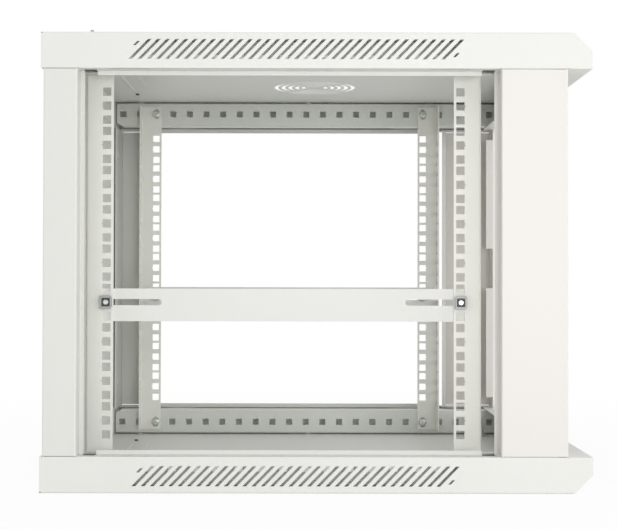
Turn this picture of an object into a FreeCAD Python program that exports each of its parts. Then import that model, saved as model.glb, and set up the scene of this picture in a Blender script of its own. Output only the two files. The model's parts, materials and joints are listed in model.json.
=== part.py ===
import FreeCAD, Part
import math
import os

# Wall mount rack cabinet, nine units high, standing with its side panels and door taken off.
# X is the width, Y the depth with the wall side at +Y, Z is up.
# The origin is the middle of the footprint, on the floor plane. All sizes are in millimetres.

# Overall size
width = 600.0
depth = 600.0
height = 501.0

# Folded sheet
frame_sheet = 1.2
frame_bend = 0.8
rail_sheet = 2.0
rail_bend = 0.8
profile_sheet = 1.5
profile_bend = 0.8
bar_sheet = 2.0

# Top and bottom covers
strip_height = 39.5
cap_chamfer = 20.5
cover_edge_radius = 2.0
rim_width = 22.0
lip_height = 4.5
corner_notch_length = 14.0
corner_notch_depth = 10.0
front_rim_depth = 42.0
relief_radius = 0.9

# Posts
front_post_set_back = 26.6
front_post_depth = 72.7
front_post_face = 40.0
front_post_return = 12.0
front_return_end_gap = 16.0
front_return_middle_gap = 60.0
rear_post_set_in = 2.8
rear_post_depth = 37.0
rear_post_flange = 69.0
post_lip = 4.5
post_seam = 0.8

# Rear panel
rear_panel_from_side = 20.0
rear_panel_clearance = 0.6

# Wall fixing holes, through the rear panel and the posts' back flanges
wall_hole_from_side = 50.0
wall_hole_from_end = 80.5
wall_hole_diameter = 9.0

# Vents in the side strips
vent_pitch = 10.0
vent_width = 3.0
vent_rise = 21.8
vent_run = 21.3
vent_free_length = 250.0
vents_fewer_below = 1
vent_middle_y = 22.3
vent_height_in_strip = 18.7
vent_stub_rise = 4.6
vent_stub_width = 2.3
vent_stub_inset = 2.4

# Side panel slots in the covers' rims
panel_slot_length = 44.5
panel_slot_width = 8.0
panel_slot_inset = 7.5
panel_slot_spacing = 349.4

# Fan grilles in the roof
fan_spacing = 200.0
fan_hole_spacing = 105.0
fan_hole_diameter = 4.5
fan_ring_count = 5
fan_outer_radius = 56.0
fan_ring_pitch = 9.4
fan_slot_width = 5.2
fan_rib_width = 6.0
fan_rib_count = 4

# Knock-out panels of the cable entries in roof and floor, sheared inwards by part of the sheet
entry_length = 284.0
entry_width = 44.5
entry_middle_from_rear = 45.2
entry_step = 0.8
entry_rib_length = 228.0
entry_rib_width = 4.0
entry_rib_height = 0.7
entry_relief_radius = 1.2
entry_screw_hole = 3.5
entry_screw_spacing = 314.0
entry_nut_diameter = 5.0
entry_nut_height = 1.8

# Door pivot holes in the caps
pivot_hole_diameter = 6.5
pivot_from_side = 16.0
pivot_from_front = 13.0

# Rack pattern
unit_height = 44.45
hole_step_wide = 15.875
rack_hole = 9.5
notch_size = 1.6

# Rack rails; with these sizes the rack opening is 450 and its holes are 465.1 apart
rail_from_side = 59.0
rack_flange = 16.0
rack_hole_from_edge = 7.55
rail_flange = 31.0
rail_hole_from_edge = 7.5
rail_end_gap = 9.0
rear_column_from_rear = 63.1
front_column_from_front = 136.9
rail_slot_width = 7.0
rail_slot_length = 15.5

# Perforated depth profiles
profile_height = 35.2
profile_flange = 15.0
profile_hole = 9.0
profile_hole_pitch = 25.0
profile_holes_behind_rail = 2
profile_hole_height = 19.7
profile_rear_gap = 2.3
profile_corner_y = 9.0
profile_corner_z = 5.5
profile_pad_diameter = 9.0
profile_pad_inset = 36.0

# Support bars between the rails
bar_height = 37.0
bar_past_column = 16.5
bar_slot_above_middle = 3.1
bar_slot_height = 7.0
bar_slot_length = 72.5
bar_slot_from_end = 6.0
bar_hole_index = 10

# Fasteners
thread_diameter = 6.0
thread_clearance = 0.1
screw_head_diameter = 11.5
screw_head_height = 4.0
screw_head_edge = 1.2
screw_length = 12.0
cross_length = 6.4
cross_width = 1.3
cross_depth = 2.2
nut_side = 13.0
nut_thickness = 5.0
cage_width = 12.8
cage_height = 10.6
cage_sheet = 0.6
cage_depth = 5.4
cage_leg_width = 6.0
cage_leg_reach = 1.8
cage_nut_side = 10.4
cage_nut_thickness = 4.6
cage_hole_diameter = 7.6
rivet_diameter = 4.2
rivet_height = 2.4
rivet_from_side = 4.0
rivet_from_rear = 55.1

# Earth stud on the floor plate, in front of the right front rail
stud_diameter = 5.0
stud_height = 13.5
stud_from_side = 83.0
stud_from_front = 51.0
stud_nut_diameter = 9.2
stud_nut_height = 4.0
stud_washer_diameter = 10.0
stud_washer_height = 1.0

# Worked out from the sizes above
half_width = width / 2.0
half_depth = depth / 2.0
middle_z = height / 2.0
lip_x = half_width - rim_width
front_post_y = -half_depth + front_post_set_back
front_post_end_y = front_post_y + front_post_depth
rear_post_y = half_depth - rear_post_set_in
rear_post_end_y = rear_post_y - rear_post_depth
opening_front_y = front_post_end_y + post_lip
opening_rear_y = rear_post_end_y - post_lip
opening_middle_y = (opening_front_y + opening_rear_y) / 2.0
front_rim_y = -half_depth + front_rim_depth
rail_x = half_width - rail_from_side
rail_inner_x = rail_x - rail_sheet
rack_edge_x = rail_x - rack_flange
rear_column_y = half_depth - rear_column_from_rear
column_steps = round((depth - rear_column_from_rear - front_column_from_front) / profile_hole_pitch)
front_column_y = rear_column_y - column_steps * profile_hole_pitch
column_middle_y = (rear_column_y + front_column_y) / 2.0
bar_half_length = (rear_column_y - front_column_y) / 2.0 + bar_past_column
unit_count = int((height - 2.0 * strip_height) / unit_height)
hole_step_narrow = unit_height - 2.0 * hole_step_wide
rail_length = height - 2.0 * rail_end_gap
profile_foot_z = strip_height - frame_sheet - profile_height
vent_count = int((depth - vent_free_length) / vent_pitch)
bar_inner_x = rail_inner_x - bar_sheet
fan_x = fan_spacing / 2.0
entry_y = half_depth - entry_middle_from_rear

# Two coordinates closer than this are the same
same_place = 0.001


def corner(x, y, z):
    return FreeCAD.Vector(x, y, z)


def block(x0, y0, z0, x1, y1, z1):
    low = corner(min(x0, x1), min(y0, y1), min(z0, z1))
    return Part.makeBox(abs(x1 - x0), abs(y1 - y0), abs(z1 - z0), low)


def rod(radius, start, end):
    along = end.sub(start)
    return Part.makeCylinder(radius, along.Length, start, along)


def prism(points, along):
    return Part.Face(Part.makePolygon(points + [points[0]])).extrude(along)


def mirror_left_right(shape):
    return shape.mirror(corner(0, 0, 0), corner(1, 0, 0))


def mirror_up_down(shape):
    return shape.mirror(corner(0, 0, middle_z), corner(0, 0, 1))


def mirror_front_rear(shape):
    return shape.mirror(corner(0, column_middle_y, 0), corner(0, 1, 0))


# A slot with round ends between two centres, cut right through along one direction
def round_slot(start, end, slot_width, through):
    along = end.sub(start)
    unit = FreeCAD.Vector(along).normalize()
    across = FreeCAD.Vector(through).cross(unit).normalize().multiply(slot_width / 2.0)
    ahead = FreeCAD.Vector(unit).multiply(slot_width / 2.0)
    first = start.add(across)
    second = end.add(across)
    third = end.sub(across)
    fourth = start.sub(across)
    edges = [
        Part.makeLine(first, second),
        Part.Arc(second, end.add(ahead), third).toShape(),
        Part.makeLine(third, fourth),
        Part.Arc(fourth, start.sub(ahead), first).toShape(),
    ]
    return Part.Face(Part.Wire(edges)).extrude(through)


# One face of a folded sheet: straight runs joined by bend arcs
def bent_line(path, sheet, bend, side, offset, place):
    count = len(path)
    runs = []
    for index in range(count - 1):
        step_a = path[index + 1][0] - path[index][0]
        step_b = path[index + 1][1] - path[index][1]
        length = math.hypot(step_a, step_b)
        runs.append((step_a / length, step_b / length))
    normals = [(-run[1] * side, run[0] * side) for run in runs]
    edges = []
    here = (path[0][0] + normals[0][0] * offset, path[0][1] + normals[0][1] * offset)
    for index in range(1, count - 1):
        before = normals[index - 1]
        after = normals[index]
        share = offset / (1.0 + before[0] * after[0] + before[1] * after[1])
        bend_a = path[index][0] + (before[0] + after[0]) * share
        bend_b = path[index][1] + (before[1] + after[1]) * share
        run_in = runs[index - 1]
        run_out = runs[index]
        cross = (run_in[0] * run_out[1] - run_in[1] * run_out[0]) * side
        turn = math.acos(max(-1.0, min(1.0, run_in[0] * run_out[0] + run_in[1] * run_out[1])))
        radius = bend + sheet - offset if cross > 0 else bend + offset
        reach = radius * math.tan(turn / 2.0)
        inward = (run_out[0] - run_in[0], run_out[1] - run_in[1])
        size = math.hypot(inward[0], inward[1])
        inward = (inward[0] / size, inward[1] / size)
        sink = radius / math.cos(turn / 2.0) - radius
        start = (bend_a - run_in[0] * reach, bend_b - run_in[1] * reach)
        middle = (bend_a + inward[0] * sink, bend_b + inward[1] * sink)
        end = (bend_a + run_out[0] * reach, bend_b + run_out[1] * reach)
        edges.append(Part.makeLine(place(*here), place(*start)))
        edges.append(Part.Arc(place(*start), place(*middle), place(*end)).toShape())
        here = end
    last = (path[-1][0] + normals[-1][0] * offset, path[-1][1] + normals[-1][1] * offset)
    edges.append(Part.makeLine(place(*here), place(*last)))
    return edges


# A folded sheet from the corner points of its outer face
# Side is 1 where the sheet lies left of the path, and -1 where it lies right of it
def folded(path, sheet, bend, side, place, along):
    outer = bent_line(path, sheet, bend, side, 0.0, place)
    inner = bent_line(path, sheet, bend, side, sheet, place)
    ends = [
        Part.makeLine(outer[0].Vertexes[0].Point, inner[0].Vertexes[0].Point),
        Part.makeLine(outer[-1].Vertexes[-1].Point, inner[-1].Vertexes[-1].Point),
    ]
    wire = Part.Wire(Part.__sortEdges__(outer + inner + ends))
    return Part.Face(wire).extrude(along)


# Closed outline of a cover seen from the side, drawn for the bottom cover
def cover_outline(inset, top_z, x):
    slope = inset * math.tan(math.radians(22.5))
    return [
        corner(x, half_depth - inset, inset),
        corner(x, -half_depth + cap_chamfer + slope, inset),
        corner(x, -half_depth + inset, cap_chamfer + slope),
        corner(x, -half_depth + inset, top_z),
        corner(x, half_depth - inset, top_z),
    ]


# Hollow folded cover: plate, side strips, chamfered front cap and rear wall, with an open inner side
def cover_shell():
    outer = prism(cover_outline(0.0, strip_height, -half_width), corner(width, 0, 0))
    long_edges = [
        edge for edge in outer.Edges
        if abs(edge.BoundBox.ZMax) < same_place and abs(edge.BoundBox.XMin - edge.BoundBox.XMax) < same_place
    ]
    outer = outer.makeFillet(cover_edge_radius, long_edges)
    inner_width = width - 2.0 * frame_sheet
    inner_start = -half_width + frame_sheet
    inner_outline = cover_outline(frame_sheet, strip_height - frame_sheet, inner_start)
    inner = prism(inner_outline, corner(inner_width, 0, 0))
    shell = outer.cut(inner)
    mouth = block(
        -lip_x, front_rim_y, strip_height - 2.0 * frame_sheet,
        lip_x, half_depth - frame_sheet, strip_height + frame_sheet,
    )
    return shell.cut(mouth)


# Upturned lip along the edge of the side opening, stopping short at both corner notches
def cover_lip():
    return block(
        -lip_x, opening_front_y + corner_notch_length, strip_height - frame_sheet,
        -lip_x + frame_sheet, opening_rear_y - corner_notch_length, strip_height + lip_height,
    )


# Notches in the rim at both ends of the lip
def corner_notches():
    cuts = []
    for start_y in (opening_front_y, opening_rear_y - corner_notch_length):
        cuts.append(block(
            -lip_x - corner_notch_depth, start_y, strip_height - 2.0 * frame_sheet,
            -lip_x + frame_sheet, start_y + corner_notch_length, strip_height + frame_sheet,
        ))
    return cuts


# Slots for the hooks of the side panel, in the rim at each side
def panel_slots():
    half_run = (panel_slot_length - panel_slot_width) / 2.0
    through = corner(0, 0, 3.0 * frame_sheet)
    cuts = []
    for sign in (-1.0, 1.0):
        middle = opening_middle_y + sign * panel_slot_spacing / 2.0
        x = -half_width + panel_slot_inset
        z = strip_height - 2.0 * frame_sheet
        start = corner(x, middle - half_run, z)
        end = corner(x, middle + half_run, z)
        cuts.append(round_slot(start, end, panel_slot_width, through))
    return cuts


# Small relief holes where the strips meet the corners of the posts
def corner_reliefs():
    cuts = []
    for y in (rear_post_y, rear_post_end_y, front_post_end_y, front_post_y):
        start = corner(-half_width - frame_sheet, y, strip_height)
        end = corner(-half_width + 2.0 * frame_sheet, y, strip_height)
        cuts.append(rod(relief_radius, start, end))
    return cuts


# Relief in the rear corner of the strip
def strip_corner_relief():
    y = half_depth - relief_radius
    start = corner(-half_width - frame_sheet, y, relief_radius)
    end = corner(-half_width + frame_sheet + cover_edge_radius, y, relief_radius)
    return rod(relief_radius, start, end)


# One vent slot with level ends, rising towards the front
def slanted_slot(middle_y, middle_z_of_slot, rise, slot_width):
    lean = vent_run / vent_rise
    half_rise = rise / 2.0
    half_run = half_rise * lean
    half_wide = slot_width * math.hypot(1.0, lean) / 2.0
    x = -half_width - frame_sheet
    low_z = middle_z_of_slot - half_rise
    high_z = middle_z_of_slot + half_rise
    points = [
        corner(x, middle_y + half_run - half_wide, low_z),
        corner(x, middle_y + half_run + half_wide, low_z),
        corner(x, middle_y - half_run + half_wide, high_z),
        corner(x, middle_y - half_run - half_wide, high_z),
    ]
    return prism(points, corner(3.0 * frame_sheet, 0, 0))


# Row of vent slots in one side strip, with a short stub where the next slot would be at each end
def vent_slots(count, middle_z_of_strip):
    cuts = []
    first = vent_middle_y + vent_pitch * (count - 1) / 2.0
    for index in range(count):
        y = first - vent_pitch * index
        cuts.append(slanted_slot(y, middle_z_of_strip, vent_rise, vent_width))
    stub_above = (vent_rise - vent_stub_rise) / 2.0 - vent_stub_inset
    stub_ahead = stub_above * vent_run / vent_rise
    for end in (-1.0, 1.0):
        y = vent_middle_y + end * (vent_pitch * (count + 1) / 2.0 - stub_ahead)
        z = middle_z_of_strip + end * stub_above
        cuts.append(slanted_slot(y, z, vent_stub_rise, vent_stub_width))
    return cuts


# Ring slots of one fan grille, crossed by ribs, with its four screw holes
def fan_grille(x, z):
    rings = []
    up = corner(0, 0, 1)
    tall = 3.0 * frame_sheet
    foot = corner(x, 0, z - tall / 2.0)
    for index in range(fan_ring_count):
        outer_radius = fan_outer_radius - fan_ring_pitch * index
        ring = Part.makeCylinder(outer_radius, tall, foot, up)
        rings.append(ring.cut(Part.makeCylinder(outer_radius - fan_slot_width, tall, foot, up)))
    ribs = []
    for index in range(fan_rib_count // 2):
        rib = block(
            x - fan_outer_radius, -fan_rib_width / 2.0, z - tall,
            x + fan_outer_radius, fan_rib_width / 2.0, z + tall,
        )
        rib.rotate(corner(x, 0, z), up, 180.0 / fan_rib_count + 360.0 / fan_rib_count * index)
        ribs.append(rib)
    slots = Part.makeCompound(rings).cut(Part.makeCompound(ribs))
    holes = []
    for side_x in (-1.0, 1.0):
        for side_y in (-1.0, 1.0):
            offset = corner(side_x * fan_hole_spacing / 2.0, side_y * fan_hole_spacing / 2.0, 0)
            holes.append(Part.makeCylinder(fan_hole_diameter / 2.0, tall, foot.add(offset), up))
    return slots.Solids + holes


# Cable entry of the floor plate: a knock-out panel set inwards, with a rib along its middle
def entry_panel():
    half_length = entry_length / 2.0
    half_entry = entry_width / 2.0
    panel = block(
        -half_length, entry_y - half_entry, entry_step,
        half_length, entry_y + half_entry, frame_sheet + entry_step,
    )
    half_rib = entry_rib_length / 2.0
    flat = frame_sheet + entry_step
    arc_radius = ((entry_rib_width / 2.0) ** 2 + entry_rib_height ** 2) / (2.0 * entry_rib_height)
    centre_z = flat + entry_rib_height - arc_radius
    rib = rod(arc_radius, corner(-half_rib, entry_y, centre_z), corner(half_rib, entry_y, centre_z))
    cap = block(
        -half_rib, entry_y - entry_rib_width, flat - entry_step,
        half_rib, entry_y + entry_rib_width, flat + 2.0 * entry_rib_height,
    )
    return panel.fuse(rib.common(cap))


# Room outside the knock-out panel, reliefs at its corners and a screw hole past each end
def entry_cuts():
    half_length = entry_length / 2.0
    half_entry = entry_width / 2.0
    outside = block(
        -half_length, entry_y - half_entry, -frame_sheet,
        half_length, entry_y + half_entry, entry_step,
    )
    low = -frame_sheet
    high = 3.0 * frame_sheet
    cuts = [outside]
    for side_x in (-1.0, 1.0):
        for side_y in (-1.0, 1.0):
            x = side_x * half_length
            y = entry_y + side_y * half_entry
            cuts.append(rod(entry_relief_radius, corner(x, y, low), corner(x, y, high)))
        hole_x = side_x * entry_screw_spacing / 2.0
        cuts.append(rod(entry_screw_hole / 2.0, corner(hole_x, entry_y, low), corner(hole_x, entry_y, high)))
    return cuts


# Pressed-in nut on the inner face of the floor plate, at the left screw hole of the cable entry
def make_entry_nut():
    x = -entry_screw_spacing / 2.0
    top_z = frame_sheet + entry_nut_height
    nut = rod(entry_nut_diameter / 2.0, corner(x, entry_y, frame_sheet), corner(x, entry_y, top_z))
    return nut.cut(rod(entry_screw_hole / 2.0, corner(x, entry_y, 0), corner(x, entry_y, 2.0 * top_z)))


# Pivot hole of the door in the inner side of one cap
def pivot_hole():
    x = half_width - pivot_from_side
    y = -half_depth + pivot_from_front
    start = corner(x, y, strip_height - 2.0 * frame_sheet)
    end = corner(x, y, strip_height + frame_sheet)
    return rod(pivot_hole_diameter / 2.0, start, end)


def make_cover(upper):
    shell = cover_shell().fuse([cover_lip(), mirror_left_right(cover_lip()), entry_panel()])
    side_cuts = panel_slots() + corner_reliefs() + corner_notches() + [strip_corner_relief()]
    cuts = side_cuts + [mirror_left_right(cut) for cut in side_cuts] + entry_cuts() + [pivot_hole()]
    cover = shell.removeSplitter().cut(cuts)
    if not upper:
        return cover.cut(vent_slots(vent_count - vents_fewer_below, vent_height_in_strip))
    grilles = []
    for x in (-fan_x, fan_x):
        grilles += fan_grille(x, height - frame_sheet / 2.0)
    return mirror_up_down(cover).cut(vent_slots(vent_count, height - vent_height_in_strip) + grilles)


def wall_hole_rods():
    rods = []
    for side_x in (-1.0, 1.0):
        for side_z in (-1.0, 1.0):
            x = side_x * (half_width - wall_hole_from_side)
            z = middle_z + side_z * (middle_z - wall_hole_from_end)
            start = corner(x, half_depth - rear_post_set_in - 3.0 * frame_sheet, z)
            rods.append(rod(wall_hole_diameter / 2.0, start, corner(x, half_depth + frame_sheet, z)))
    return rods


# Narrow gaps between both ends of a post's side face and the strips
def post_seams(front_y, rear_y):
    cuts = []
    for low_z in (strip_height, height - strip_height - post_seam):
        cuts.append(block(
            -half_width - frame_sheet, front_y, low_z,
            -half_width + frame_sheet, rear_y, low_z + post_seam,
        ))
    return cuts


# Front post of the left side: seat lip, rear return, side face, front face and inner return
def make_front_post():
    path = [
        (-lip_x, opening_front_y),
        (-lip_x, front_post_end_y),
        (-half_width, front_post_end_y),
        (-half_width, front_post_y),
        (-half_width + front_post_face, front_post_y),
        (-half_width + front_post_face, front_post_y + front_post_return),
    ]
    tall = height - 2.0 * strip_height
    post = folded(
        path, frame_sheet, frame_bend, 1,
        lambda a, b: corner(a, b, strip_height), corner(0, 0, tall),
    )
    edge_x = -half_width + front_post_face
    cut_y = front_post_y + frame_sheet + frame_bend
    gaps = [
        (strip_height, strip_height + front_return_end_gap),
        (middle_z - front_return_middle_gap / 2.0, middle_z + front_return_middle_gap / 2.0),
        (height - strip_height - front_return_end_gap, height - strip_height),
    ]
    cuts = post_seams(front_post_y + frame_sheet, front_post_end_y - frame_sheet)
    for low_z, high_z in gaps:
        cuts.append(block(
            edge_x - 2.0 * frame_sheet, cut_y, low_z,
            edge_x + frame_sheet, cut_y + front_post_return, high_z,
        ))
    return post.cut(cuts)


# Rear post of the left side: seat lip, front return, side face and back flange
def make_rear_post():
    path = [
        (-lip_x, opening_rear_y),
        (-lip_x, rear_post_end_y),
        (-half_width, rear_post_end_y),
        (-half_width, rear_post_y),
        (-half_width + rear_post_flange, rear_post_y),
    ]
    tall = height - 2.0 * strip_height
    post = folded(
        path, frame_sheet, frame_bend, -1,
        lambda a, b: corner(a, b, strip_height), corner(0, 0, tall),
    )
    seams = post_seams(rear_post_end_y + frame_sheet, rear_post_y - frame_sheet)
    return post.cut(wall_hole_rods() + seams)


# Rear panel: a shallow tray whose rim seats on the posts' back flanges
def make_rear_panel():
    half = half_width - rear_panel_from_side
    low_z = strip_height + rear_panel_clearance
    high_z = height - low_z
    tray = block(-half, rear_post_y, low_z, half, half_depth, high_z)
    inside = block(
        -half + frame_sheet, rear_post_y - frame_sheet, low_z + frame_sheet,
        half - frame_sheet, half_depth - frame_sheet, high_z - frame_sheet,
    )
    return tray.cut(inside).cut(wall_hole_rods())


# Heights of the square holes, counted from the lowest
def rack_hole_heights():
    lowest = middle_z - (unit_height * unit_count) / 2.0 + hole_step_narrow / 2.0
    heights = []
    for unit in range(unit_count):
        for place in range(3):
            heights.append(lowest + unit * unit_height + place * hole_step_wide)
    return heights


# Rear rail of the left side: a side flange with adjusting holes and a rack flange facing the wall
def make_rear_rail():
    free_y = rear_column_y - rail_hole_from_edge
    end_y = free_y + rail_flange
    path = [(-rail_x, free_y), (-rail_x, end_y), (-rack_edge_x, end_y)]
    rail = folded(
        path, rail_sheet, rail_bend, -1,
        lambda a, b: corner(a, b, rail_end_gap), corner(0, 0, rail_length),
    )
    half_hole = rack_hole / 2.0
    deep = 2.0 * rail_sheet
    cuts = []
    for index, z in enumerate(rack_hole_heights()):
        cuts.append(block(
            -rail_x - deep, rear_column_y - half_hole, z - half_hole,
            -rail_x + deep, rear_column_y + half_hole, z + half_hole,
        ))
        rack_x = -rack_edge_x - rack_hole_from_edge
        cuts.append(block(
            rack_x - half_hole, end_y - deep, z - half_hole,
            rack_x + half_hole, end_y + deep, z + half_hole,
        ))
        if index % 3 == 1:
            tip_y = rear_column_y + half_hole + notch_size
            notch = [
                corner(-rail_x - deep, tip_y, z),
                corner(-rail_x - deep, rear_column_y, z - half_hole),
                corner(-rail_x - deep, rear_column_y, z + half_hole),
            ]
            wedge = prism(notch, corner(2.0 * deep, 0, 0))
            band = block(
                -rail_x - deep, rear_column_y, z - notch_size,
                -rail_x + deep, tip_y, z + notch_size,
            )
            cuts.append(wedge.common(band))
    half_run = (rail_slot_length - rail_slot_width) / 2.0
    for z in (profile_hole_height, height - profile_hole_height):
        start = corner(-rail_x - deep, rear_column_y, z - half_run)
        end = corner(-rail_x - deep, rear_column_y, z + half_run)
        cuts.append(round_slot(start, end, rail_slot_width, corner(2.0 * deep, 0, 0)))
    return rail.cut(cuts)


# Perforated profile along the floor of the left side, with pads that space it off the plate
def make_depth_profile():
    top_z = profile_foot_z + profile_height
    outer_x = -rail_x - profile_flange
    path = [(outer_x, top_z), (-rail_x, top_z), (-rail_x, profile_foot_z), (outer_x, profile_foot_z)]
    front_y = -half_depth + cap_chamfer
    rear_y = half_depth - frame_sheet - profile_rear_gap
    profile = folded(
        path, profile_sheet, profile_bend, -1,
        lambda a, b: corner(a, front_y, b), corner(0, rear_y - front_y, 0),
    )
    half_hole = profile_hole / 2.0
    cuts = []
    y = rear_column_y + profile_holes_behind_rail * profile_hole_pitch
    while y - half_hole > front_y + profile_sheet:
        cuts.append(block(
            -rail_x - 2.0 * profile_sheet, y - half_hole, profile_hole_height - half_hole,
            -rail_x + profile_sheet, y + half_hole, profile_hole_height + half_hole,
        ))
        y -= profile_hole_pitch
    corner_cut = [
        corner(outer_x - profile_sheet, rear_y + profile_sheet, top_z - profile_corner_z),
        corner(outer_x - profile_sheet, rear_y, top_z - profile_corner_z),
        corner(outer_x - profile_sheet, rear_y - profile_corner_y, top_z),
        corner(outer_x - profile_sheet, rear_y - profile_corner_y, top_z + profile_sheet),
        corner(outer_x - profile_sheet, rear_y + profile_sheet, top_z + profile_sheet),
    ]
    cuts.append(prism(corner_cut, corner(profile_flange + 3.0 * profile_sheet, 0, 0)))
    profile = profile.cut(cuts)
    pads = []
    pad_x = -rail_x - profile_flange / 2.0 - profile_sheet / 2.0
    for pad_y in (front_y + profile_pad_inset, (front_y + rear_y) / 2.0, rear_y - profile_pad_inset):
        start = corner(pad_x, pad_y, frame_sheet)
        end = corner(pad_x, pad_y, profile_foot_z + profile_sheet)
        pads.append(rod(profile_pad_diameter / 2.0, start, end))
    return profile.fuse(pads).removeSplitter()


def bar_bolt_z():
    return rack_hole_heights()[bar_hole_index]


# Flat bar that ties the two rails of the left side, with an adjusting slot at each end
def make_support_bar():
    slot_z = bar_bolt_z()
    middle = slot_z - bar_slot_above_middle
    bar = block(
        -rail_inner_x, column_middle_y - bar_half_length, middle - bar_height / 2.0,
        -bar_inner_x, column_middle_y + bar_half_length, middle + bar_height / 2.0,
    )
    half_slot = bar_slot_height / 2.0
    through = corner(3.0 * bar_sheet, 0, 0)
    x = -rail_inner_x - bar_sheet
    near = bar_half_length - bar_slot_from_end - half_slot
    far = bar_half_length - bar_slot_from_end - bar_slot_length + half_slot
    cuts = []
    for side in (-1.0, 1.0):
        start = corner(x, column_middle_y + side * near, slot_z)
        end = corner(x, column_middle_y + side * far, slot_z)
        cuts.append(round_slot(start, end, bar_slot_height, through))
    return bar.cut(cuts)


# Pan head screw on the left side, its head towards the middle and its thread pointing out
def make_pan_screw(head_x, y, z, thread_end_x):
    inner = corner(head_x + screw_head_height, y, z)
    head = rod(screw_head_diameter / 2.0, corner(head_x, y, z), inner)
    rim = [edge for edge in head.Edges if abs(edge.BoundBox.XMin - inner.x) < same_place and edge.Closed]
    head = head.makeFillet(screw_head_height - screw_head_edge, rim)
    shank = rod(thread_diameter / 2.0, corner(thread_end_x, y, z), corner(head_x, y, z))
    shank_end = [edge for edge in shank.Edges if abs(edge.BoundBox.XMax - thread_end_x) < same_place]
    shank = shank.makeChamfer(thread_diameter / 10.0, shank_end)
    screw = head.fuse(shank)
    cuts = []
    for across_y, across_z in ((cross_length, cross_width), (cross_width, cross_length)):
        cuts.append(block(
            inner.x - cross_depth, y - across_y / 2.0, z - across_z / 2.0,
            inner.x + cross_depth, y + across_y / 2.0, z + across_z / 2.0,
        ))
    return screw.cut(cuts)


def bored(shape, diameter, y, z):
    start = corner(shape.BoundBox.XMin - frame_sheet, y, z)
    end = corner(shape.BoundBox.XMax + frame_sheet, y, z)
    return shape.cut(rod(diameter / 2.0, start, end))


# Screw and square nut that hold a rail's end to the profile
def rail_fixing(y, z):
    screw = make_pan_screw(-rail_inner_x, y, z, -rail_inner_x - screw_length)
    web_x = -rail_x - profile_sheet
    half_nut = nut_side / 2.0
    nut = block(web_x - nut_thickness, y - half_nut, z - half_nut, web_x, y + half_nut, z + half_nut)
    return screw, bored(nut, thread_diameter + thread_clearance, y, z)


# Cage of a cage nut: plate on the rail, side walls over the nut and two legs in the square hole
def make_cage(y, z):
    half_wide = cage_width / 2.0
    half_tall = cage_height / 2.0
    plate = block(-rail_x - cage_sheet, y - half_wide, z - half_tall, -rail_x, y + half_wide, z + half_tall)
    parts = []
    for side in (-1.0, 1.0):
        wall_y = y + side * half_wide
        parts.append(block(
            -rail_x - cage_depth, wall_y - side * cage_sheet, z - half_tall,
            -rail_x, wall_y, z + half_tall,
        ))
        leg_z = z + side * (rack_hole / 2.0 - thread_clearance)
        parts.append(block(
            -rail_x - cage_sheet, y - cage_leg_width / 2.0, leg_z - side * cage_sheet,
            -rail_x + cage_leg_reach, y + cage_leg_width / 2.0, leg_z,
        ))
    cage = plate.fuse(parts).removeSplitter()
    return bored(cage, cage_hole_diameter, y, z)


# Bolt, cage and square nut that tie the support bar to a rail
def bar_fixing(y):
    z = bar_bolt_z()
    bolt = make_pan_screw(-bar_inner_x, y, z, -rail_x - cage_depth - bar_sheet)
    nut_x = -rail_x - cage_sheet
    half_nut = cage_nut_side / 2.0
    nut = block(nut_x - cage_nut_thickness, y - half_nut, z - half_nut, nut_x, y + half_nut, z + half_nut)
    nut = bored(nut, thread_diameter + thread_clearance, y, z)
    return bolt, make_cage(y, z), nut


# Domed rivet head on the roof, near the side edge
def make_roof_rivet():
    x = -half_width + rivet_from_side
    y = half_depth - rivet_from_rear
    head = rod(rivet_diameter / 2.0, corner(x, y, height), corner(x, y, height + rivet_height))
    rim = [edge for edge in head.Edges if edge.BoundBox.ZMin > height + rivet_height - same_place]
    return head.makeFillet(rivet_diameter / 3.0, rim)


def hexagon(diameter, x, y, low_z, high_z):
    radius = diameter / 2.0
    points = []
    for index in range(6):
        angle = math.radians(60.0 * index)
        points.append(corner(x + radius * math.cos(angle), y + radius * math.sin(angle), low_z))
    return prism(points, corner(0, 0, high_z - low_z))


# Earth stud on the floor plate with its washer and hexagon nut
def earth_fixing():
    x = half_width - stud_from_side
    y = -half_depth + stud_from_front
    base_z = frame_sheet
    stud = rod(stud_diameter / 2.0, corner(x, y, base_z), corner(x, y, base_z + stud_height))
    washer = rod(stud_washer_diameter / 2.0, corner(x, y, base_z), corner(x, y, base_z + stud_washer_height))
    nut_z = base_z + stud_washer_height
    nut = hexagon(stud_nut_diameter, x, y, nut_z, nut_z + stud_nut_height)
    clear = rod(
        (stud_diameter + thread_clearance) / 2.0,
        corner(x, y, base_z - frame_sheet), corner(x, y, base_z + 2.0 * stud_height),
    )
    return stud, washer.cut(clear), nut.cut(clear)


def both_sides(shapes):
    return shapes + [mirror_left_right(shape) for shape in shapes]


def write_node(name, shapes):
    solids = []
    for shape in shapes:
        solids += shape.Solids
    whole = solids[0] if len(solids) == 1 else Part.makeCompound(solids)
    for solid in solids:
        if not solid.isValid():
            raise ValueError("bad solid in " + name)
    whole.exportStep("parts/" + name + ".step")
    print(name, len(solids), "solids,", round(sum(solid.Volume for solid in solids)), "mm3")


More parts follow.
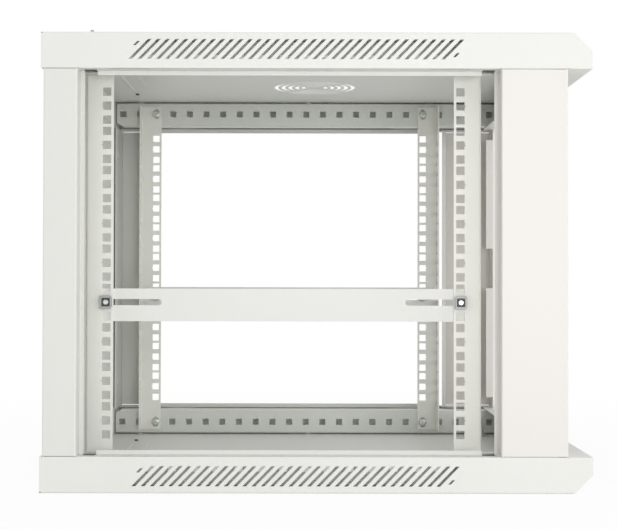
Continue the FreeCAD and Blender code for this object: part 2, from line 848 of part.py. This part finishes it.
def main():
    os.makedirs("parts", exist_ok=True)
    write_node("top_cover", [make_cover(True)])
    write_node("bottom_cover", [make_cover(False)])
    front_post = make_front_post()
    rear_post = make_rear_post()
    rear_rail = make_rear_rail()
    front_rail = mirror_front_rear(rear_rail)
    low_profile = make_depth_profile()
    high_profile = mirror_up_down(low_profile)
    support_bar = make_support_bar()
    for name, left in (
        ("front_post", front_post),
        ("rear_post", rear_post),
        ("rear_rack_rail", rear_rail),
        ("front_rack_rail", front_rail),
        ("lower_depth_profile", low_profile),
        ("upper_depth_profile", high_profile),
        ("support_bar", support_bar),
    ):
        write_node(name + "_left", [left])
        write_node(name + "_right", [mirror_left_right(left)])
    write_node("rear_panel", [make_rear_panel()])
    screws = []
    nuts = []
    for y in (rear_column_y, front_column_y):
        for z in (profile_hole_height, height - profile_hole_height):
            screw, nut = rail_fixing(y, z)
            screws.append(screw)
            nuts.append(nut)
    write_node("rail_screws", both_sides(screws))
    write_node("rail_nuts", both_sides(nuts))
    bolts = []
    cages = []
    cage_nuts = []
    for y in (rear_column_y, front_column_y):
        bolt, cage, nut = bar_fixing(y)
        bolts.append(bolt)
        cages.append(cage)
        cage_nuts.append(nut)
    write_node("bar_bolts", both_sides(bolts))
    write_node("nut_cages", both_sides(cages))
    write_node("cage_nuts", both_sides(cage_nuts))
    write_node("roof_rivets", both_sides([make_roof_rivet()]))
    entry_nut = make_entry_nut()
    write_node("entry_nuts", both_sides([entry_nut, mirror_up_down(entry_nut)]))
    stud, washer, nut = earth_fixing()
    write_node("earth_stud", [stud])
    write_node("earth_washer", [washer])
    write_node("earth_nut", [nut])


main()
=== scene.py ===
import json
import math

import bpy
from mathutils import Matrix, Vector


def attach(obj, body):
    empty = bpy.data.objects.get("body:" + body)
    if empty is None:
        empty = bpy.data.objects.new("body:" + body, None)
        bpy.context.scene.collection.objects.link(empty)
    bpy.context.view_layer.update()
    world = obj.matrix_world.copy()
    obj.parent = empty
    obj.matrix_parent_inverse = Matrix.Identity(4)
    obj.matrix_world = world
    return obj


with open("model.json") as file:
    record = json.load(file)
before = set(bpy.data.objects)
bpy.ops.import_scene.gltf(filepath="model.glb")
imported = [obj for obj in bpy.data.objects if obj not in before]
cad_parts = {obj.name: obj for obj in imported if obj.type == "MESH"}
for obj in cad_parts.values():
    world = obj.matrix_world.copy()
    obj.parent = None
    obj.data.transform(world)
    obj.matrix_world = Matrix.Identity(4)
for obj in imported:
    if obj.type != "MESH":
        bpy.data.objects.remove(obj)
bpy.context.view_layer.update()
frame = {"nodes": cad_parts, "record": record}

nodes = frame["nodes"]
print("frame loaded:", len(nodes), "nodes")


# Lengths are in metres. The camera looks at the left side of the cabinet,
# so the wall side is on the left of the picture and the door side on the right.
def deselectAll():
    for thing in bpy.context.selected_objects:
        thing.select_set(False)


# Camera: level with the middle of the cabinet, about 1.4 metres from its side
cameraSet = {
    "place": (-1.705187, 0.010319, 0.228210),
    "turnLeft": -0.065,  # degrees from straight across the cabinet
    "lookUp": 0.788,  # degrees
    "roll": 0.111,  # degrees
    "lens": 75.60,
    "sensor": 36.0,
}


def makeCamera():
    data = bpy.data.cameras.new("sideCamera")
    data.lens = cameraSet["lens"]
    data.sensor_width = cameraSet["sensor"]
    data.sensor_fit = "HORIZONTAL"
    camera = bpy.data.objects.new("sideCamera", data)
    bpy.context.scene.collection.objects.link(camera)
    yaw = math.radians(cameraSet["turnLeft"])
    pitch = math.radians(cameraSet["lookUp"])
    roll = math.radians(cameraSet["roll"])
    ahead = Vector((
        math.cos(pitch) * math.cos(yaw),
        math.cos(pitch) * math.sin(yaw),
        math.sin(pitch),
    ))
    across = Vector((math.sin(yaw), -math.cos(yaw), 0.0))
    upward = across.cross(ahead)
    rightSide = across * math.cos(roll) + upward * math.sin(roll)
    topSide = upward * math.cos(roll) - across * math.sin(roll)
    turn = Matrix((rightSide, topSide, -ahead)).transposed()
    place = Matrix.Translation(Vector(cameraSet["place"]))
    camera.matrix_world = place @ turn.to_4x4()
    bpy.context.scene.camera = camera


makeCamera()
print("camera placed")


# Studio: white world, pale floor and soft lamps
studioSet = {
    "worldLight": 0.80,
    "floorSize": 14.0,
    "floorColour": (0.94, 0.94, 0.93),
    "whiteNear": 0.90,  # share of white on the floor beside the cabinet, the rest takes its shadow
    "whiteFar": 1.0,
    "nearRadius": 0.45,
    "farRadius": 1.25,
    "lamps": (
        # name, place, aim, size, power
        ("frontSoftbox", (-2.5, -0.45, 0.32), (-0.2, 0.0, 0.27), 0.6, 11.8),
        ("frontFill", (-2.2, -1.7, 0.45), (-0.2, 0.0, 0.25), 0.8, 4.8),
        ("doorSide", (-0.9, -2.7, 0.65), (-0.1, -0.1, 0.25), 1.2, 9.5),
        ("wallSide", (0.4, 3.0, 1.9), (0.0, 0.2, 0.3), 2.0, 9.0),
        ("overhead", (0.0, 0.0, 2.9), (0.0, 0.0, 0.25), 2.2, 3.0),
    ),
}
pureWhite = (1.0, 1.0, 1.0, 1.0)


# One for rays that show the background itself: from the camera, off gloss or through glass
def seenDirectly(tree):
    path = tree.nodes.new("ShaderNodeLightPath")
    gloss = tree.nodes.new("ShaderNodeMath")
    gloss.operation = "MAXIMUM"
    clear = tree.nodes.new("ShaderNodeMath")
    clear.operation = "MAXIMUM"
    tree.links.new(path.outputs["Is Camera Ray"], gloss.inputs[0])
    tree.links.new(path.outputs["Is Glossy Ray"], gloss.inputs[1])
    tree.links.new(gloss.outputs["Value"], clear.inputs[0])
    tree.links.new(path.outputs["Is Transmission Ray"], clear.inputs[1])
    return clear.outputs["Value"]


def makeWorld():
    world = bpy.data.worlds.new("studioWorld")
    bpy.context.scene.world = world
    world.use_nodes = True
    tree = world.node_tree
    tree.nodes.clear()
    out = tree.nodes.new("ShaderNodeOutputWorld")
    mix = tree.nodes.new("ShaderNodeMixShader")
    light = tree.nodes.new("ShaderNodeBackground")
    light.inputs["Color"].default_value = pureWhite
    light.inputs["Strength"].default_value = studioSet["worldLight"]
    white = tree.nodes.new("ShaderNodeBackground")
    white.inputs["Color"].default_value = pureWhite
    white.inputs["Strength"].default_value = 1.0
    tree.links.new(seenDirectly(tree), mix.inputs["Fac"])
    tree.links.new(light.outputs["Background"], mix.inputs[1])
    tree.links.new(white.outputs["Background"], mix.inputs[2])
    tree.links.new(mix.outputs["Shader"], out.inputs["Surface"])


# The floor is matt, with a share of plain white that grows with the distance from the cabinet
def makeFloorMaterial():
    material = bpy.data.materials.new("paleFloor")
    material.use_nodes = True
    tree = material.node_tree
    tree.nodes.clear()
    out = tree.nodes.new("ShaderNodeOutputMaterial")
    mix = tree.nodes.new("ShaderNodeMixShader")
    matt = tree.nodes.new("ShaderNodeBsdfDiffuse")
    matt.inputs["Color"].default_value = (*studioSet["floorColour"], 1.0)
    white = tree.nodes.new("ShaderNodeEmission")
    white.inputs["Color"].default_value = pureWhite
    white.inputs["Strength"].default_value = 1.0
    where = tree.nodes.new("ShaderNodeTexCoord")
    reach = tree.nodes.new("ShaderNodeVectorMath")
    reach.operation = "LENGTH"
    fade = tree.nodes.new("ShaderNodeMapRange")
    fade.inputs["From Min"].default_value = studioSet["nearRadius"]
    fade.inputs["From Max"].default_value = studioSet["farRadius"]
    fade.inputs["To Min"].default_value = studioSet["whiteNear"]
    fade.inputs["To Max"].default_value = studioSet["whiteFar"]
    share = tree.nodes.new("ShaderNodeMath")
    share.operation = "MULTIPLY"
    tree.links.new(where.outputs["Object"], reach.inputs[0])
    tree.links.new(reach.outputs["Value"], fade.inputs["Value"])
    tree.links.new(fade.outputs["Result"], share.inputs[1])
    tree.links.new(seenDirectly(tree), share.inputs[0])
    tree.links.new(share.outputs["Value"], mix.inputs["Fac"])
    tree.links.new(matt.outputs["BSDF"], mix.inputs[1])
    tree.links.new(white.outputs["Emission"], mix.inputs[2])
    tree.links.new(mix.outputs["Shader"], out.inputs["Surface"])
    return material


def makeFloor():
    deselectAll()
    bpy.ops.mesh.primitive_plane_add(size=studioSet["floorSize"], location=(0.0, 0.0, 0.0))
    floor = bpy.context.object
    floor.name = "studioFloor"
    floor.data.materials.append(makeFloorMaterial())


def makeLamps():
    for name, place, aim, size, power in studioSet["lamps"]:
        data = bpy.data.lights.new(name, "AREA")
        data.shape = "SQUARE"
        data.size = size
        data.energy = power
        lamp = bpy.data.objects.new(name, data)
        bpy.context.scene.collection.objects.link(lamp)
        lamp.location = place
        lamp.rotation_euler = (Vector(aim) - Vector(place)).to_track_quat("-Z", "Y").to_euler()
        lamp.visible_camera = False


makeWorld()
makeFloor()
makeLamps()
bpy.context.scene.view_settings.view_transform = "Standard"
print("studio lit")


# Shared effects, each one a node group that puts out colour, roughness and normal
grainOutputs = (
    ("Colour", "NodeSocketColor"),
    ("Roughness", "NodeSocketFloat"),
    ("Normal", "NodeSocketVector"),
)


def newGroup(name, inputs):
    group = bpy.data.node_groups.new(name, "ShaderNodeTree")
    for label, kind, value in inputs:
        socket = group.interface.new_socket(label, in_out="INPUT", socket_type=kind)
        socket.default_value = value
    for label, kind in grainOutputs:
        group.interface.new_socket(label, in_out="OUTPUT", socket_type=kind)
    return group, group.nodes.new("NodeGroupInput"), group.nodes.new("NodeGroupOutput")


def newNoise(group, detail, scale=None):
    noise = group.nodes.new("ShaderNodeTexNoise")
    noise.inputs["Detail"].default_value = detail
    if scale is not None:
        noise.inputs["Scale"].default_value = scale
    return noise


# One math node whose three places take a socket or a number
def newMath(group, operation, *values):
    node = group.nodes.new("ShaderNodeMath")
    node.operation = operation
    for index, value in enumerate(values):
        if isinstance(value, float):
            node.inputs[index].default_value = value
        else:
            group.links.new(value, node.inputs[index])
    return node.outputs["Value"]


# The colour made a little lighter and darker by a value that swings round zero
def swingColour(group, start, end, swing, depth):
    factor = newMath(group, "MULTIPLY_ADD", swing, start.outputs[depth], 1.0)
    tone = group.nodes.new("ShaderNodeVectorMath")
    tone.operation = "SCALE"
    group.links.new(start.outputs["Colour"], tone.inputs[0])
    group.links.new(factor, tone.inputs["Scale"])
    group.links.new(tone.outputs["Vector"], end.inputs["Colour"])


def raiseSurface(group, start, end, noise, height, distance):
    bump = group.nodes.new("ShaderNodeBump")
    bump.inputs["Distance"].default_value = distance
    group.links.new(start.outputs[height], bump.inputs["Strength"])
    group.links.new(noise.outputs["Fac"], bump.inputs["Height"])
    group.links.new(bump.outputs["Normal"], end.inputs["Normal"])


# Powder coat: fine orange peel, a slow drift of tone, small flecks and a slight change of gloss
powderCoatSet = {
    "driftScale": 5.0,
    "driftDetail": 2.0,
    "fleckScale": 1400.0,
    "fleckDetail": 1.0,
    "fleckShare": 0.25,
    "middle": 0.62,  # mean of the drift and its share of flecks
    "peelDetail": 2.0,
    "glossSwing": 0.12,
    "peelDistance": 0.0002,
}


def makePowderCoatGroup():
    group, start, end = newGroup(
        "powderCoatGrain",
        (
            ("Colour", "NodeSocketColor", (0.8, 0.8, 0.8, 1.0)),
            ("Drift", "NodeSocketFloat", 0.02),
            ("Peel Size", "NodeSocketFloat", 900.0),
            ("Peel Height", "NodeSocketFloat", 0.05),
            ("Gloss", "NodeSocketFloat", 0.42),
        ),
    )
    where = group.nodes.new("ShaderNodeTexCoord")
    drift = newNoise(group, powderCoatSet["driftDetail"], powderCoatSet["driftScale"])
    fleck = newNoise(group, powderCoatSet["fleckDetail"], powderCoatSet["fleckScale"])
    peel = newNoise(group, powderCoatSet["peelDetail"])
    for noise in (drift, fleck, peel):
        group.links.new(where.outputs["Object"], noise.inputs["Vector"])
    group.links.new(start.outputs["Peel Size"], peel.inputs["Scale"])
    both = newMath(
        group, "MULTIPLY_ADD",
        fleck.outputs["Fac"], powderCoatSet["fleckShare"], drift.outputs["Fac"],
    )
    swing = newMath(group, "SUBTRACT", both, powderCoatSet["middle"])
    swingColour(group, start, end, swing, "Drift")
    rough = newMath(
        group, "MULTIPLY_ADD",
        peel.outputs["Fac"], powderCoatSet["glossSwing"], start.outputs["Gloss"],
    )
    group.links.new(rough, end.inputs["Roughness"])
    raiseSurface(group, start, end, peel, "Peel Height", powderCoatSet["peelDistance"])
    return group


# Bright plating: cloudy tone and gloss, with fine scratches
platingSet = {
    "cloudDetail": 3.0,
    "middle": 0.5,
    "scratchStretch": (2600.0, 300.0, 2600.0),
    "scratchScale": 1.0,
    "scratchDetail": 2.0,
    "glossSwing": 0.25,
    "scratchDistance": 0.0001,
}


def makePlatingGroup():
    group, start, end = newGroup(
        "platedSteelGrain",
        (
            ("Colour", "NodeSocketColor", (0.7, 0.7, 0.7, 1.0)),
            ("Cloud Size", "NodeSocketFloat", 160.0),
            ("Cloud Depth", "NodeSocketFloat", 0.3),
            ("Scratch Height", "NodeSocketFloat", 0.2),
            ("Gloss", "NodeSocketFloat", 0.25),
        ),
    )
    where = group.nodes.new("ShaderNodeTexCoord")
    cloud = newNoise(group, platingSet["cloudDetail"])
    stretch = group.nodes.new("ShaderNodeMapping")
    stretch.inputs["Scale"].default_value = platingSet["scratchStretch"]
    scratch = newNoise(group, platingSet["scratchDetail"], platingSet["scratchScale"])
    group.links.new(where.outputs["Object"], cloud.inputs["Vector"])
    group.links.new(where.outputs["Object"], stretch.inputs["Vector"])
    group.links.new(stretch.outputs["Vector"], scratch.inputs["Vector"])
    group.links.new(start.outputs["Cloud Size"], cloud.inputs["Scale"])
    swing = newMath(group, "SUBTRACT", cloud.outputs["Fac"], platingSet["middle"])
    swingColour(group, start, end, swing, "Cloud Depth")
    rough = newMath(
        group, "MULTIPLY_ADD",
        cloud.outputs["Fac"], platingSet["glossSwing"], start.outputs["Gloss"],
    )
    group.links.new(rough, end.inputs["Roughness"])
    raiseSurface(group, start, end, scratch, "Scratch Height", platingSet["scratchDistance"])
    return group


# One material: the group's grain on a plain shader
def newSurface(name, group, groupValues, metallic):
    material = bpy.data.materials.new(name)
    material.use_nodes = True
    tree = material.node_tree
    tree.nodes.clear()
    out = tree.nodes.new("ShaderNodeOutputMaterial")
    shader = tree.nodes.new("ShaderNodeBsdfPrincipled")
    shader.inputs["Metallic"].default_value = metallic
    effect = tree.nodes.new("ShaderNodeGroup")
    effect.node_tree = group
    for label, value in groupValues.items():
        effect.inputs[label].default_value = value
    tree.links.new(effect.outputs["Colour"], shader.inputs["Base Color"])
    tree.links.new(effect.outputs["Roughness"], shader.inputs["Roughness"])
    tree.links.new(effect.outputs["Normal"], shader.inputs["Normal"])
    tree.links.new(shader.outputs["BSDF"], out.inputs["Surface"])
    return material


paintLabels = ("Colour", "Drift", "Peel Size", "Peel Height", "Gloss")
paintSet = {
    "coverPaint": ((0.735, 0.738, 0.706, 1.0), 0.02, 1100.0, 0.10, 0.40),
    "framePaint": ((0.735, 0.715, 0.682, 1.0), 0.02, 1100.0, 0.10, 0.40),
    # The rear posts' and rear panel's paint: the covers' greenish grey made darker as painted
    # shade for their shaded inner side
    "rearPaintPaintedShade": ((0.695, 0.702, 0.666, 1.0), 0.02, 1100.0, 0.10, 0.40),
    # The rails' paint: the same grey made lighter as painted light
    "railPaintPaintedLight": ((0.800, 0.802, 0.752, 1.0), 0.03, 1300.0, 0.12, 0.38),
    # The depth profiles' paint: the same grey made darker as painted shade for where they lie in
    # the shade by the roof and floor
    "profilePaintPaintedShade": ((0.668, 0.684, 0.652, 1.0), 0.03, 1300.0, 0.12, 0.40),
    "barPaint": ((0.735, 0.735, 0.706, 1.0), 0.02, 1200.0, 0.10, 0.40),
}
metalLabels = ("Colour", "Cloud Size", "Cloud Depth", "Scratch Height", "Gloss")
metalSet = {
    "zincPlate": ((0.62, 0.66, 0.64, 1.0), 420.0, 0.5, 0.3, 0.20),
    "cagePlate": ((0.40, 0.41, 0.40, 1.0), 300.0, 0.3, 0.3, 0.46),
    # Spring steel: near black, painted shade for the dark window of each cage nut
    "springSteelPaintedShade": ((0.085, 0.09, 0.088, 1.0), 300.0, 0.3, 0.3, 0.42),
    "rivetSteel": ((0.40, 0.40, 0.39, 1.0), 400.0, 0.3, 0.2, 0.25),
}


def makeSurfaces():
    made = {}
    powderCoat = makePowderCoatGroup()
    for name, values in paintSet.items():
        made[name] = newSurface(name, powderCoat, dict(zip(paintLabels, values)), 0.0)
    plating = makePlatingGroup()
    for name, values in metalSet.items():
        made[name] = newSurface(name, plating, dict(zip(metalLabels, values)), 1.0)
    return made


surfaces = makeSurfaces()

# Finish of each material slot in the record, and the nodes that take their own: the bars and nut
# cages a finish, the rear posts, rear panel and depth profiles a copy of the paint made darker as
# painted shade
slotFinish = {
    "cover_paint": "coverPaint",
    "frame_paint": "framePaint",
    "rail_paint": "railPaintPaintedLight",
    "zinc": "zincPlate",
    "spring_steel": "springSteelPaintedShade",
    "rivet_steel": "rivetSteel",
}
ownFinish = {
    "rear_post_left": "rearPaintPaintedShade",
    "rear_post_right": "rearPaintPaintedShade",
    "rear_panel": "rearPaintPaintedShade",
    "lower_depth_profile_left": "profilePaintPaintedShade",
    "lower_depth_profile_right": "profilePaintPaintedShade",
    "upper_depth_profile_left": "profilePaintPaintedShade",
    "upper_depth_profile_right": "profilePaintPaintedShade",
    "support_bar_left": "barPaint",
    "support_bar_right": "barPaint",
    "nut_cages": "cagePlate",
}


def dressNodes():
    for subpart in frame["record"]["subparts"]:
        name = subpart["node"]
        finish = ownFinish.get(name, slotFinish[subpart["material_slot"]])
        mesh = nodes[name].data
        mesh.materials.clear()
        mesh.materials.append(surfaces[finish])


dressNodes()
print("surfaces set")


# Pressed frame that closes each nut cage where the support bars are bolted on
cageFrame = {
    "faceX": 0.2464,  # outer ends of the cage walls, from the middle of the cabinet
    "places": ((-0.1631, 0.20605), (0.2369, 0.20605)),  # depth and height
    "wide": 0.0132,
    "tall": 0.0152,
    "window": (0.0094, 0.0096),
    "cornerRadius": 0.0022,
    "cornerSegments": 5,
    "thick": 0.0008,
    "edgeRadius": 0.00018,
    "edgeSegments": 2,
}


def makeCageFrame():
    wide, tall = cageFrame["wide"], cageFrame["tall"]
    windowWide, windowTall = cageFrame["window"]
    rim = (wide - windowWide) / 2.0
    deselectAll()
    bpy.ops.mesh.primitive_plane_add(size=wide, rotation=(0.0, -math.pi / 2.0, 0.0))
    piece = bpy.context.object
    bpy.ops.object.transform_apply(location=False, rotation=True, scale=True)
    bpy.ops.object.mode_set(mode="EDIT")
    bpy.ops.mesh.select_all(action="SELECT")
    bpy.ops.transform.resize(value=(1.0, 1.0, tall / wide))
    bpy.ops.mesh.bevel(
        offset=cageFrame["cornerRadius"], segments=cageFrame["cornerSegments"], affect="VERTICES",
    )
    bpy.ops.mesh.select_all(action="SELECT")
    bpy.ops.mesh.inset(thickness=rim)
    bpy.ops.transform.resize(value=(1.0, 1.0, windowTall / (tall - 2.0 * rim)))
    bpy.ops.mesh.delete(type="FACE")
    bpy.ops.object.mode_set(mode="OBJECT")
    wall = piece.modifiers.new("wall", "SOLIDIFY")
    wall.thickness = cageFrame["thick"]
    wall.offset = 1.0
    edges = piece.modifiers.new("edges", "BEVEL")
    edges.width = cageFrame["edgeRadius"]
    edges.segments = cageFrame["edgeSegments"]
    bpy.ops.object.modifier_apply(modifier=wall.name)
    bpy.ops.object.modifier_apply(modifier=edges.name)
    piece.data.materials.append(surfaces["cagePlate"])
    return piece


def placeCageFrames():
    first = makeCageFrame()
    sides = (("left", -1.0, 0.0), ("right", 1.0, math.pi))
    for index, (y, z) in enumerate(cageFrame["places"], start=1):
        for side, outward, turn in sides:
            mesh = first.data.copy()
            there = Matrix.Translation((outward * cageFrame["faceX"], y, z))
            mesh.transform(there @ Matrix.Rotation(turn, 4, "Z"))
            piece = bpy.data.objects.new(f"cage_frame_{side}_{index}", mesh)
            bpy.context.scene.collection.objects.link(piece)
            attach(piece, "root")
    pattern = first.data
    bpy.data.objects.remove(first)
    bpy.data.meshes.remove(pattern)


placeCageFrames()
print("cage frames made")
